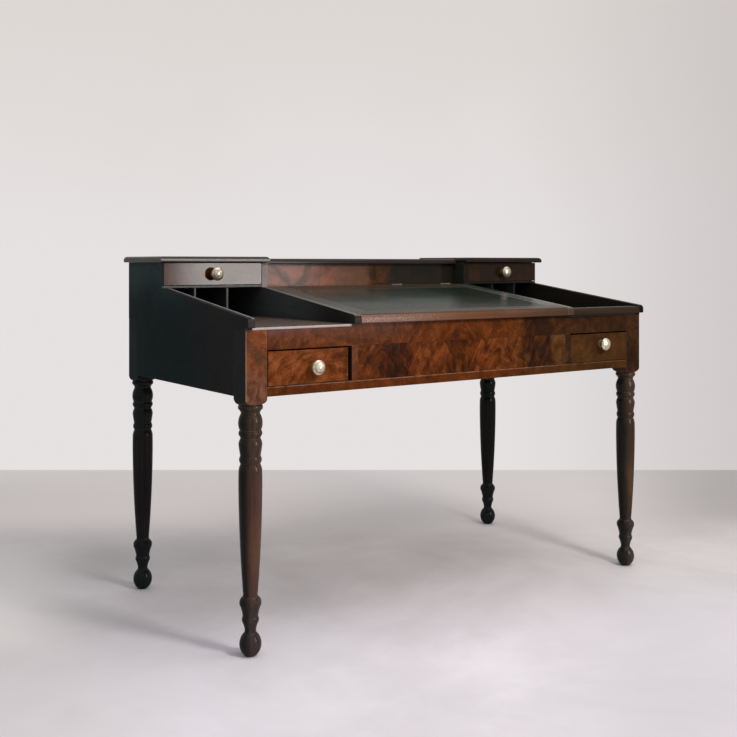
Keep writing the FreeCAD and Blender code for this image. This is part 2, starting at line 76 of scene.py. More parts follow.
# %% The Wire class
class Wire:
    """An output socket that can be used in sums like a number."""

    def __init__(self, tree, socket=None):
        self.tree = tree
        self.socket = socket

    def add(self, kind, settings=None, out=0, **inputs):
        """Makes any node; out is the name or number of the output that the new Wire carries."""
        node = self.tree.nodes.new(kind)
        for name, value in (settings or {}).items():
            if name == "stops":
                ramp = node.color_ramp
                while len(ramp.elements) < len(value):
                    ramp.elements.new(1.0)
                for stop, (place, colour) in zip(ramp.elements, value):
                    stop.position = place
                    stop.color = (*colour, 1.0)
            else:
                setattr(node, name, value)
        for name, value in inputs.items():
            self.feed(node, name, value)
        outputs = {socket.identifier: socket for socket in node.outputs}
        return Wire(self.tree, outputs[out] if out in outputs else node.outputs[out])

    def feed(self, node, name, value):
        """Links or sets one input, found by its identifier or else by its name."""
        plain = name.replace("_", " ")
        exact = [socket for socket in node.inputs if socket.identifier == name]
        target = (exact or [socket for socket in node.inputs if socket.name == plain])[0]
        if isinstance(value, Wire):
            self.tree.links.new(value.socket, target)
        elif target.type == "RGBA":
            target.default_value = (*value, 1.0)
        else:
            target.default_value = value

    def sum(self, operation, *values):
        names = ("Value", "Value_001", "Value_002")
        return self.add("ShaderNodeMath", {"operation": operation}, **dict(zip(names, values)))

    def __add__(self, other):
        return self.sum("ADD", self, other)

    def __radd__(self, other):
        return self.sum("ADD", other, self)

    def __sub__(self, other):
        return self.sum("SUBTRACT", self, other)

    def __rsub__(self, other):
        return self.sum("SUBTRACT", other, self)

    def __mul__(self, other):
        return self.sum("MULTIPLY", self, other)

    def __rmul__(self, other):
        return self.sum("MULTIPLY", other, self)

    def __truediv__(self, other):
        return self.sum("DIVIDE", self, other)

    def __rtruediv__(self, other):
        return self.sum("DIVIDE", other, self)

    def __pow__(self, other):
        return self.sum("POWER", self, other)

    def __rpow__(self, other):
        return self.sum("POWER", other, self)

    def __abs__(self):
        return self.sum("ABSOLUTE", self)

    def step(self, low, high, start=0.0, end=1.0):
        """Runs smoothly from start to end while this goes from low to high."""
        return self.add("ShaderNodeMapRange", {"interpolation_type": "SMOOTHSTEP"}, Value=self,
                        From_Min=low, From_Max=high, To_Min=start, To_Max=end)

    def colour(self, a, b):
        """Colour a where this is 0 and colour b where it is 1."""
        return self.add("ShaderNodeMix", {"data_type": "RGBA"}, "Result_Color",
                        Factor_Float=self, A_Color=a, B_Color=b)

    def split(self):
        node = self.add("ShaderNodeSeparateXYZ", Vector=self).socket.node
        return [Wire(self.tree, socket) for socket in node.outputs]

    def join(self, x, y, z):
        return self.add("ShaderNodeCombineXYZ", X=x, Y=y, Z=z)

    def noise(self, detail=2.0, roughness=0.5, distortion=0.0, scale=1.0):
        return self.add("ShaderNodeTexNoise", Vector=self, Scale=scale, Detail=detail,
                        Roughness=roughness, Distortion=distortion)


def new_material(name):
    """An empty material, and a Wire that carries the piece's own coordinates in metres."""
    made = bpy.data.materials.new(name)
    made.use_nodes = True
    made.node_tree.nodes.clear()
    return made, Wire(made.node_tree).add("ShaderNodeTexCoord", out="Object")


def end_with(shader, output="ShaderNodeOutputMaterial"):
    """Links a shader to its tree's output."""
    node = shader.tree.nodes.new(output)
    shader.tree.links.new(shader.socket, node.inputs["Surface"])


print("shader sums ready")

# %% [markdown]
# ## Floor and backdrop
# The desk stands on a pale studio floor that ends at a pale backdrop. A screen behind the desk
# could be the backdrop, but it would hide the desk in views from the back. So one large plane
# is both: past a line behind the desk it takes the backdrop's colour. Rays from the camera, and
# reflections, see that colour as it is written, while the rest of the plane is lit by the lamps
# and keeps the desk's shadow.

# %% Backdrop
backdrop_near = (0.790, 0.755, 0.758)
backdrop_high = (0.720, 0.682, 0.655)
backdrop_right = (0.560, 0.525, 0.515)
line_depth = 4.653


def seen_rays(start):
    """1 for the rays that should see the pale backdrop, 0 for the rest."""
    path = start.add("ShaderNodeLightPath").socket.node.outputs
    kinds = ("Is Camera Ray", "Is Glossy Ray", "Is Transmission Ray")
    straight, mirrored, through = [Wire(start.tree, path[kind]) for kind in kinds]
    total = straight + mirrored + through
    return total.sum("MINIMUM", total, 1.0)


def darker_right(to_right, colour):
    """The backdrop's colour, a little darker towards the right of the picture: painted shade."""
    return to_right.step(0.10, 0.38, 0.0, 0.75).colour(colour, backdrop_right)


print("backdrop starts", line_depth, "m from the camera")

# %% [markdown]
# ## The floor's tones
# One flat colour would look like paper. Here slow clouds and a finer mottle mix two tones, and
# the tones change with the distance from the camera's place and from left to right, so that the
# floor isn't evenly bright: that change is painted light and shade, and a dark patch on the left
# is a painted shadow beside a painted pool of light. The colours are fixed to the floor and stay
# there in other views.

# %% Floor tones
floor_deep, floor_pale = (0.610, 0.570, 0.550), (0.860, 0.812, 0.812)
near_deep, near_pale = (0.725, 0.682, 0.712), (0.935, 0.885, 0.945)
near_right, near_left = (0.585, 0.550, 0.585), (0.760, 0.710, 0.675)
far_left, far_middle, far_right = (1.000, 0.915, 0.880), (0.800, 0.740, 0.725), (0.460, 0.425, 0.410)
floor_painted_shadow, floor_painted_light = (0.400, 0.380, 0.365), (1.000, 0.950, 0.920)
cloud_waves, mottle_waves = 1.5, 7.0


def floor_tones(place, depth, to_right):
    """Colour of the floor, with painted light and shade by its distance from the camera and by side, and its
    fine mottle.
    """
    x, y, z = place.split()
    cloud = place.join(x * cloud_waves, y * cloud_waves, 3.0).noise(5.0, 0.6, 0.4)
    mottle = place.join(x * mottle_waves, y * mottle_waves, 9.0).noise(4.0, 0.6)
    tone = cloud.step(0.3, 0.7) * 0.7 + mottle * 0.3
    near = tone.colour(near_deep, near_pale)
    near = to_right.step(0.10, 0.30, 0.0, 0.75).colour(near, near_right)
    near = to_right.step(-0.32, -0.14, 0.5, 0.0).colour(near, near_left)
    far = to_right.step(-0.20, 0.06).colour(far_left, far_middle)
    far = to_right.step(0.18, 0.33).colour(far, far_right)
    # Painted shadow on the left of the floor, and a painted pool of light nearer the front.
    shade = depth.step(2.90, 3.15) * depth.step(3.35, 3.75, 1.0, 0.0)
    shade = shade * to_right.step(-0.33, -0.24) * to_right.step(-0.18, -0.08, 0.22, 0.0)
    light = depth.step(2.35, 2.60) * depth.step(3.00, 3.60, 1.0, 0.0)
    light = light * to_right.step(-0.33, -0.24, 0.8, 0.0)
    colour = tone.colour(floor_deep, floor_pale)
    colour = depth.step(2.5, 3.4, 0.85, 0.0).colour(colour, near)
    colour = depth.step(3.3, 3.9, 0.0, 0.9).colour(colour, far)
    colour = shade.colour(colour, floor_painted_shadow)
    return light.colour(colour, floor_painted_light), mottle


print("floor tones ready")

# %% Floor
reach = 14.0
line_blur = 0.012
floor_glow_depth, floor_glow = 3.9, 0.18
floor_material, place = new_material("pale_floor")
x, y, z = place.split()
depth = (x - eye.x) * ahead.x + (y - eye.y) * ahead.y
lateral = (x - eye.x) * ahead.y - (y - eye.y) * ahead.x
to_right = lateral / (lateral * lateral + depth * depth) ** 0.5
floor_colour, mottle = floor_tones(place, depth, to_right)
floor = place.add("ShaderNodeBsdfPrincipled", Base_Color=floor_colour, Roughness=0.62 + mottle * 0.1,
                  Specular_IOR_Level=0.25)
backdrop = place.add("ShaderNodeEmission", Color=darker_right(to_right, backdrop_near), Strength=1.0)
# Painted light: towards the line the floor glows a little with the backdrop's colour.
past_line = depth.step(line_depth - line_blur, line_depth + line_blur) * (1.0 - floor_glow)
past_line = (past_line + depth.step(floor_glow_depth, line_depth, 0.0, floor_glow)) * seen_rays(place)
end_with(place.add("ShaderNodeMixShader", Fac=past_line, Shader=floor, Shader_001=backdrop))
floor_mesh = bpy.data.meshes.new("floor")
floor_corners = [(-reach, -reach, 0), (reach, -reach, 0), (reach, reach, 0), (-reach, reach, 0)]
floor_mesh.from_pydata(floor_corners, [], [(0, 1, 2, 3)])
floor_object = bpy.data.objects.new("floor", floor_mesh)
floor_mesh.materials.append(floor_material)
bpy.context.scene.collection.objects.link(floor_object)
print("floor reaches", reach, "m each way")

# %% [markdown]
# ## The world
# The world is what a ray meets when it misses everything. Rays that look at it straight or in a
# mirror see the backdrop's colour, which changes slowly with height. A plain white world would
# also light the desk from all sides and wash it out, so all other rays get a weaker, cooler grey
# that only fills the shadows.

# %% World
shadow_fill = (0.40, 0.41, 0.43)
world = bpy.data.worlds.new("studio")
bpy.context.scene.world = world
world.use_nodes = True
world.node_tree.nodes.clear()
sky = Wire(world.node_tree)
direction = sky.add("ShaderNodeTexCoord", out="Generated")
cloud = direction.noise(4.0, 0.6, scale=5.0)
to_east, to_north, to_top = direction.split()
seen_colour = to_top.step(0.02, 0.26).colour(backdrop_near, backdrop_high)
seen_colour = (cloud.step(0.35, 0.70) * to_top.step(0.0, 0.12) * 0.5).colour(seen_colour, backdrop_high)
seen_colour = darker_right(to_east * ahead.y - to_north * ahead.x, seen_colour)
fill = seen_rays(sky).colour(shadow_fill, seen_colour)
end_with(sky.add("ShaderNodeBackground", Color=fill, Strength=1.0), "ShaderNodeOutputWorld")
print("world fills the shadows with", shadow_fill)

# %% [markdown]
# ## Lamps
# A tall soft box stands in front of the desk, a little to the right, like a window. Its lower
# edge sits at about knee height: the upright fronts at the top of the desk mirror it and turn
# silky, while the lower fronts mirror the floor and keep their deep colour. One lamp could do
# both jobs, but then the reflections would settle where the shadows fall. So the tall box only
# shows in reflections, and a smaller key lamp, high in front, gives the light and throws the
# shadows of the legs to the back. A wide lamp overhead lights the tops and softens the rest.

# %% Lamps
def soft_box(name, centre, turn, size, power, tint, mirrored=True, shining=True):
    lamp = bpy.data.lights.new(name, "AREA")
    lamp.shape = "RECTANGLE"
    lamp.size, lamp.size_y = size
    lamp.energy = power
    lamp.color = tint
    made = bpy.data.objects.new(name, lamp)
    made.location = centre
    made.rotation_euler = turn
    made.visible_camera = False
    made.visible_glossy = mirrored
    made.visible_diffuse = shining
    bpy.context.scene.collection.objects.link(made)
    print(name, "power", power, "W")


day_tint, top_tint = (1.0, 0.97, 0.95), (1.0, 0.98, 0.97)
upright, downward = (math.pi / 2, 0.0, 0.0), (0.0, 0.0, 0.0)
key_place, key_aim = Vector((0.40, -2.85, 2.45)), Vector((0.0, -0.2, 0.5))
key_turn = (key_aim - key_place).to_track_quat("-Z", "Y").to_euler()
soft_box("window_box", centre=(1.32, -3.0, 1.40), turn=upright, size=(0.95, 1.75), power=52.0,
         tint=day_tint, shining=False)
soft_box("key_box", centre=key_place, turn=key_turn, size=(0.6, 0.6), power=50.0,
         tint=day_tint, mirrored=False)
soft_box("top_box", centre=(0.6, -0.8, 3.4), turn=downward, size=(2.6, 2.6), power=47.0, tint=top_tint)

# %% [markdown]
# ## Wood that knows its grain
# Mahogany shows slow colour bands along the board, fine stripes inside them, and short dark
# pores. A picture of wood could be wrapped round each board, but it would repeat and show seams
# at the edges. Here all three are noise, drawn out along the grain: little change along the
# board, much across it. The helpers take the grain's direction, so that a rail runs along X and
# a leg along Z, as a maker would cut them.

# %% Grain helpers
def along_grain(place, along, seed):
    """The piece's coordinates as length along the grain, width and thickness."""
    x, y, z = place.split()
    long, wide, thick = {"x": (x, y, z), "y": (y, x, z), "z": (z, x, y)}[along]
    return long + seed, wide + seed * 0.37, thick + seed * 0.61


def fibres(parts, along, across, detail=2.0, roughness=0.5, drift=None):
    """Noise drawn out along the grain; along and across are its waves per metre each way."""
    long, wide, thick = parts
    if drift:
        wide = wide + drift
        thick = thick + drift
    return long.join(long * along, wide * across, thick * across).noise(detail, roughness)


def pores(parts):
    """1 in the short dark pores of mahogany, 0 beside them."""
    return fibres(parts, along=70.0, across=1300.0, detail=1.0).step(0.60, 0.72)


def swing(noise, reach):
    """The noise made to swing about 0, over the given reach."""
    return (noise - 0.5) * reach


rub_widths = {"board": 0.0022, "veneer": 0.0020, "leg": 0.0025, "plain": 0.0020}


def edge_mask(place, kind):
    """1 on the arrises of a piece, 0 on its faces."""
    rounded = place.add("ShaderNodeBevel", {"samples": 4}, Radius=rub_widths[kind])
    flat = place.add("ShaderNodeNewGeometry", out="Normal")
    facing = place.add("ShaderNodeVectorMath", {"operation": "DOT_PRODUCT"}, "Value",
                       Vector=rounded, Vector_001=flat)
    return (1.0 - facing).step(0.01, 0.16)


def bumped(place, height, strength, distance):
    return place.add("ShaderNodeBump", Strength=strength, Distance=distance, Height=height)


def turned_to(way):
    """1 where a face looks nearly the given way, 0 where it is turned 57 degrees or more from it."""
    return way.step(0.55, 0.85)


def looks_towards(place, axis, sign):
    """1 on the faces of a piece that look along an axis, 0 on the rest."""
    normal = place.add("ShaderNodeTexCoord", out="Normal").split()
    return turned_to(normal["xyz".index(axis)] * sign)


def between(place, axis, low, high):
    """0 before low and 1 past high along an axis; low above high turns it round."""
    along = place.split()["xyz".index(axis)]
    if low < high:
        return along.step(low, high)
    return along.step(high, low, 1.0, 0.0)


print("grain helpers ready")

# %% [markdown]
# ## Straight-grained mahogany
# Most boards are plain mahogany under an old polish, rubbed pale along the edges. Some of their
# faces have a colour of their own: an edge that is worn pale, a front that carries veneer. More
# materials on one board would do that too, with a hard line between them. One material that
# asks which way a face looks, and where, lets the colours run into each other.

# %% Mahogany
def painted_faces(place, ground, tone, faces):
    """Lays a colour, or a figure made by a function, on faces and on stretches of them."""
    for colour, facing, stretch in faces:
        if callable(colour):
            mask = 0.95 + tone * 0.05
            colour = colour(place)
        else:
            mask = 0.75 + tone * 0.25
        if facing:
            mask = mask * looks_towards(place, *facing)
        if stretch:
            mask = mask * between(place, *stretch)
        ground = mask.colour(ground, colour)
    return ground


def mahogany(name, along, seed, deep, warm, coat, rough=0.30, worn=0.35, pale=(0.30, 0.19, 0.13),
             gloss=0.04, faces=(), dull_top=0.0):
    """Polished mahogany; faces lists colour, direction and stretch of what differs."""
    made, place = new_material(name)
    parts = along_grain(place, along, seed)
    wander = fibres(parts, along=2.0, across=3.0)
    bands = fibres(parts, along=0.9, across=13.0, detail=3.0, roughness=0.55, drift=wander * 0.06)
    stripe = fibres(parts, along=3.2, across=85.0, detail=3.0, roughness=0.6, drift=wander * 0.03)
    smear = fibres(parts, along=9.0, across=14.0, detail=4.0, roughness=0.6)
    pore = pores(parts)
    tone = (bands * 0.8 + stripe * 0.55 - 0.18).step(0.15, 0.85)
    ground = painted_faces(place, tone.colour(deep, warm), tone, faces)
    dark = tuple(0.35 * value for value in deep)
    ground = (pore * 0.5).colour(ground, dark)
    ground = (smear.step(0.55, 0.78) * 0.3).colour(ground, dark)
    rub = edge_mask(place, "board") * smear.step(0.36, 0.62) * worn
    ground = rub.colour(ground, pale)
    if dull_top:
        coat = coat * (1.0 - looks_towards(place, "z", 1.0) * dull_top)
    height = stripe * 0.4 - pore * 0.8 + smear * 0.5
    shader = place.add("ShaderNodeBsdfPrincipled", Base_Color=ground,
                       Roughness=rough + smear * 0.16 + pore * 0.1 - 0.08, Specular_IOR_Level=gloss,
                       Coat_Weight=coat * (1.2 - smear * 0.5), Coat_Roughness=0.16,
                       Normal=bumped(place, height, strength=0.18, distance=0.0006))
    end_with(shader)
    return made


print("mahogany ready")

# %% [markdown]
# ## The flame figure
# The fronts carry veneer cut from the fork of a tree. Its figure is a row of feathers: the
# strokes leave a middle line and sweep up and out, and neighbouring leaves mirror each other.
# A wave texture would give even stripes. Folding the X coordinate back and forth gives the
# mirrored leaves, and tilting Z by the folded distance makes the strokes slant. Each leaf also
# has its own depth of colour, given by stops along the front.

# %% Flame figure
# Painted reflection: on the panel and the top rail the dark stops from about 0.65 to 0.73 stand for something
# dark mirrored in the polish, and the rail's darker right end is painted shade.
panel_tones = [
    (0.00, 0.50), (0.225, 0.50), (0.26, 0.40), (0.288, 0.30), (0.30, 0.17), (0.350, 0.20), (0.362, 0.56),
    (0.43, 0.50), (0.452, 0.32), (0.505, 0.40), (0.52, 0.55), (0.60, 0.50), (0.634, 0.56), (0.650, 0.26),
    (0.712, 0.25), (0.732, 0.58), (1.00, 0.56)]
rail_tones = [
    (0.00, 0.47), (0.20, 0.51), (0.27, 0.42), (0.34, 0.48), (0.42, 0.54), (0.50, 0.44), (0.57, 0.48),
    (0.640, 0.54), (0.655, 0.24), (0.72, 0.18), (0.74, 0.38), (0.85, 0.33), (1.00, 0.28)]
drawer_tones = [(0.00, 0.74), (0.11, 0.72), (0.15, 0.66), (0.175, 0.56), (1.00, 0.52)]
mahogany_stops = [
    (0.00, (0.016, 0.006, 0.003)), (0.28, (0.054, 0.013, 0.003)), (0.50, (0.112, 0.027, 0.004)),
    (0.72, (0.190, 0.048, 0.010)), (1.00, (0.290, 0.084, 0.024))]
# Painted shade: this tint turns the right-hand end of the veneer darker and olive.
olive_shade_tint = (0.62, 1.04, 1.75)
front_half, front_middle = 0.67, 0.68


def flame_figure(place, seed, leaf, start, slope, curve=2.2, fine=1.0):
    """Light and dark of the feathers about 0, the pores along the strokes, and two slow noises."""
    x, y, z = place.split()
    wander = place.join(x * 8.0 + seed, y * 8.0, z * 8.0 + seed).noise(3.0, 0.55)
    ripple = place.join(x * 36.0, y * 36.0 + seed, z * 36.0).noise(3.0, 0.6)
    across = x - start + swing(wander, 0.10)
    fold = across.sum("PINGPONG", across, leaf)
    sweep = z - slope * fold + slope * curve * fold * fold + swing(wander, 0.16) + ripple * 0.014
    stroke = place.join(sweep * (62.0 * fine), fold * (14.0 * fine), seed).noise(4.0, 0.62)
    streak = place.join(sweep * (190.0 * fine), fold * 24.0, seed + 2.0).noise(3.0, 0.6)
    hair = place.join(sweep * 950.0, fold * 70.0, seed + 4.0).noise(1.0)
    glow = place.join(x * (48.0 * fine) + ripple * 3.0, z * (26.0 * fine), seed + 6.0).noise(3.0, 0.6, 0.15)
    pore = place.join(sweep * 1500.0, fold * 160.0, seed + 8.0).noise(1.0).step(0.62, 0.74)
    light = swing(stroke, 0.75) + swing(streak, 0.35) + swing(hair, 0.25) + swing(glow, 1.0)
    return light, pore, wander, glow


def leaf_tones(place, wander, tones):
    """Depth of colour of each veneer leaf along the front, with slightly uneven seams."""
    x, y, z = place.split()
    spot = (x + front_half) / (2 * front_half) + swing(wander, 0.03) + (z - front_middle) * 0.10
    ramp = [(stop, (value,) * 3) for stop, value in tones]
    return place.add("ShaderNodeRGBToBW", Color=place.add("ShaderNodeValToRGB", {"stops": ramp}, Fac=spot))


def veneer_colour(place, light, depth, olive=0.0):
    """Colour of the veneer for its figure, its depth and how far it has gone olive."""
    ground = place.add("ShaderNodeValToRGB", {"stops": mahogany_stops}, Fac=light + depth)
    return place.add("ShaderNodeMix", {"data_type": "RGBA", "blend_type": "MULTIPLY"}, "Result_Color",
                     Factor_Float=olive, A_Color=ground, B_Color=olive_shade_tint)


print("stops along the front:", len(panel_tones), "panel,", len(rail_tones), "rail")

# %% [markdown]
# ## Painted light and shade on the veneer
# Old veneer isn't even, and nor is the light on it. In the picture the gallery panel is pale on its
# left and dark on its right, the top rail has a pink bloom at its left end and is dark under the
# lid's nosing, and the bottom rail has a bright upper edge. Here these are painted: the pale left
# and the pink bloom are painted sheen, the dark right is painted shade, the dark under the nosing
# is a painted shadow and the bright edge a painted highlight. The gallery panel also has one bright
# feather of figure. Separate pieces of veneer would show hard seams, so each is a soft mask over the
# figure, fixed to the wood.

# %% Painted sheen, shade and highlights
# Colours of painted light: pink sheen, pale sheen greying at its edge, shade, shadow and highlight; the
# feather colours are figure.
pink_sheen_colour = (0.120, 0.046, 0.056)
sheen_grey, sheen_pale = (0.135, 0.083, 0.052), (0.350, 0.205, 0.180)
feather_light, feather_stem = (0.330, 0.130, 0.085), (0.085, 0.048, 0.034)
feather_x, feather_z = -0.243, 0.842
gallery_shadow, brow_shadow = (0.011, 0.013, 0.009), (0.026, 0.010, 0.002)
rim_light = (0.290, 0.140, 0.095)
brow_depth, rim_low, rim_high = 0.012, 0.0030, 0.0018


def painted_pink_sheen(place, ground, wander, share):
    """Painted sheen: a pink bloom where the polish mirrors the light, at the top left."""
    x, y, z = place.split()
    sheen_mask = (x + swing(wander, 0.2)).step(-0.66, -0.38, 1.0, 0.0)
    sheen_mask = sheen_mask * (z + swing(wander, 0.05)).step(0.735, 0.758)
    return (sheen_mask * share).colour(ground, pink_sheen_colour)


def sheen_faded(place, ground, light, wander, glow, share):
    """Painted sheen, pale on the left and greying where it fades, with one bright feather of figure between
    its dark stems.
    """
    x, y, z = place.split()
    drifted = x + swing(wander, 0.2)
    grey = drifted.step(-0.16, -0.10) * (x + swing(wander, 0.1)).step(0.00, 0.05, 1.0, 0.0)
    ground = (grey * 0.7).colour(ground, sheen_grey)
    pale_sheen = drifted.step(-0.26, -0.02, 1.0, 0.0) * (0.75 + light * 1.2) * share
    ground = pale_sheen.colour(ground, sheen_pale)
    feather = abs(x - feather_x + swing(wander, 0.08)) - (z - feather_z) * 0.8 + swing(glow, 0.05)
    ground = feather.step(-0.030, 0.004, 0.65, 0.0).colour(ground, feather_light)
    stem = feather.step(-0.012, 0.004) * feather.step(0.004, 0.034, 0.8, 0.0)
    return stem.colour(ground, feather_stem)


def darkened_right(place, ground, wander, share):
    """Painted shade: dark from the middle to the right."""
    drifted = place.split()[0] + swing(wander, 0.2)
    return (drifted.step(-0.04, 0.13) * share).colour(ground, gallery_shadow)


def under_brow(place, ground, top):
    """Painted shadow under an overhanging edge, more so on the right; top is that edge's height."""
    x, y, z = place.split()
    return (z.step(top - brow_depth, top) * x.step(-0.30, 0.30, 0.0, 0.7)).colour(ground, brow_shadow)


def bright_rim(place, ground, glow, top):
    """A broken painted highlight along the upper edge; top is that edge's height."""
    x, y, z = place.split()
    line = z.step(top - rim_low, top - rim_high) * glow.step(0.25, 0.6) * x.step(0.0, 0.5, 0.7, 0.25)
    return line.colour(ground, rim_light)


print("marks of age ready")

# %% [markdown]
# ## Flame veneer
# The veneer's colour is the figure, then the painted sheen, shade and highlights, then the dark
# pores and the pale edges. Its polish is a thin clear coat over a base with hardly any gloss of its
# own. A glossy base would look the same from the front, but grey when seen along the surface.

# %% Veneer
veneer_rough = 0.28
pore_black, rubbed_pale, end_black = (0.014, 0.006, 0.003), (0.34, 0.20, 0.12), (0.010, 0.014, 0.014)


def flame_veneer(name, seed, leaf, start, slope, tones=None, plain=0.5, olive=0.0, coat=0.07, figure=1.0,
                 worn=0.35, fine=1.0, pink_sheen=0.0, sheen_fade=0.0, shade=0.0, brow=None, rim=None,
                 dark_ends=False):
    """Feathered veneer under polish; leaf is the width of one mirrored leaf."""
    made, place = new_material(name)
    light, pore, wander, glow = flame_figure(place, seed, leaf, start, slope, fine=fine)
    x, y, z = place.split()
    light = light * x.step(0.16, 0.40, 1.0, 0.6)
    depth = leaf_tones(place, wander, tones) if tones else swing(wander, 0.5) + plain
    ground = veneer_colour(place, light * figure, depth, (x + wander * 0.1).step(0.10, 0.38) * olive)
    if pink_sheen:
        ground = painted_pink_sheen(place, ground, wander, pink_sheen)
    if sheen_fade:
        ground = sheen_faded(place, ground, light, wander, glow, sheen_fade)
    if shade:
        ground = darkened_right(place, ground, wander, shade)
    if brow:
        ground = under_brow(place, ground, brow)
    ground = (pore * 0.5).colour(ground, pore_black)
    if rim:
        ground = bright_rim(place, ground, glow, rim)
    rub = edge_mask(place, "veneer") * glow.step(0.40, 0.62) * worn
    ground = rub.colour(ground, rubbed_pale)
    if dark_ends:
        ends = turned_to(abs(place.add("ShaderNodeTexCoord", out="Normal").split()[0]))
        ground = ends.colour(ground, end_black)
        coat = coat * (1.0 - ends * 0.96)
    smear = place.join(x * 8.0, y * 8.0 + seed, z * 12.0).noise(4.0, 0.6)
    height = light * 0.25 - pore * 0.7 + smear * 0.8
    shader = place.add("ShaderNodeBsdfPrincipled", Base_Color=ground,
                       Roughness=veneer_rough + smear * 0.16 + pore * 0.1 - 0.06, Specular_IOR_Level=0.015,
                       Coat_Weight=coat * (1.25 - smear * 0.5), Coat_Roughness=0.12,
                       Normal=bumped(place, height, strength=0.14, distance=0.0006))
    end_with(shader)
    return made


def stile_figure(seed, depth, olive):
    """Veneer for the narrow fronts between drawer and panel."""
    def colour(place):
        light = flame_figure(place, seed, leaf=0.4, start=-0.9, slope=1.4)[0]
        return veneer_colour(place, light * 0.8, depth, olive)
    return colour


print("veneer ready")

# %% [markdown]
# ## Leg wood
# A leg is one turned piece. Below, its grain runs down the turning. The ring turnings and the
# foot are darker. A front leg's left flank, away from the light, is darker too, as painted shade,
# and the back legs are painted nearly black as shade. The square post at its top carries a strip
# of flame veneer in front, and its outer face is as dark as the side of the case. Cutting the
# leg in two would allow two materials, but the real one is in one piece, so one material asks
# how high a point is and which way it faces.

# %% Leg colours
night, dusk = (0.0045, 0.0072, 0.0072), (0.0105, 0.0150, 0.0150)
side_front, side_back, side_top = (0.0170, 0.0165, 0.0165), (0.0022, 0.0105, 0.0115), (0.0330, 0.0560, 0.0560)
foot_tones = ((0.022, 0.018, 0.015), (0.058, 0.049, 0.043))
bare_brown, leg_pore, leg_rub = (0.120, 0.062, 0.028), (0.010, 0.006, 0.004), (0.26, 0.17, 0.12)
post_grey = ((0.075, 0.034, 0.024), (0.220, 0.108, 0.070))
post_stain, post_corner = (0.030, 0.027, 0.014), (0.300, 0.185, 0.135)
lit_way = (0.8177, -0.5757)


def side_shade(place):
    """The case's side: brown black at the front, teal towards the back and paler at the top."""
    worn = place.noise(4.0, 0.6, scale=7.0)
    x, y, z = place.split()
    low = (y + swing(worn, 0.25)).step(-0.28, 0.10).colour(side_front, side_back)
    return (z + swing(worn, 0.15)).step(0.76, 0.92, 0.0, 0.8).colour(low, side_top)


def front_turning(place, tone, smear, height, tones, rings, olive):
    """A front leg below its post: dark rings, a bare patch, a grey foot and a flank in painted shade."""
    ground = tone.colour(*tones)
    ground = height.step(0.39, 0.46, 0.0, 0.8).colour(ground, tone.colour(*rings))
    bare = height.step(0.16, 0.24) * height.step(0.26, 0.36, 1.0, 0.0) * smear.step(0.35, 0.6)
    ground = (bare * 0.6).colour(ground, bare_brown)
    ground = height.step(0.08, 0.20, 0.8, 0.0).colour(ground, tone.colour(*foot_tones))
    normal = place.add("ShaderNodeTexCoord", out="Normal").split()
    # Painted shade on the flank that looks away from the light.
    lit = normal[0] * lit_way[0] + normal[1] * lit_way[1]
    flank_shade = lit.step(-0.50, 0.30, 0.92 - 0.08 * olive, 0.0) * height.step(0.572, 0.582, 1.0, 0.0)
    return flank_shade.colour(ground, night)


def back_turning(tone, height, tones):
    """A back leg below its post: its rings and its foot are nearly black, as painted shade."""
    ends = height.step(0.42, 0.47) + height.step(0.08, 0.20, 1.0, 0.0)
    return ends.colour(tone.colour(*tones), tone.colour(night, dusk))


def post_veneer(place, seed, smear, height, depth, olive, low_grey):
    """The strip of veneer on a front post, greyed and stained low down by low_grey."""
    light, pore, wander, glow = flame_figure(place, seed, leaf=0.4, start=-0.9, slope=1.1)
    ground = veneer_colour(place, light * (1.1 - 0.6 * olive), depth + swing(wander, 0.8), olive)
    low = height.step(0.60, 0.72, 1.0, 0.0) * low_grey
    ground = low.colour(ground, glow.step(0.3, 0.7).colour(*post_grey))
    x = place.split()[0]
    stain = height + x * 0.8 + swing(wander, 0.06)
    stain = stain.step(0.162, 0.182) * stain.step(0.200, 0.215, 1.0, 0.0) * low_grey
    ground = (stain * 0.75).colour(ground, post_stain)
    corner = abs(x).step(0.6655, 0.6680) * smear.step(0.28, 0.50) * low_grey
    return corner.colour(ground, post_corner)


print("leg colours ready")

# %% Leg wood
post_coat, front_coat, back_coat, ring_coat = 0.08, 0.21, 0.10, 0.04


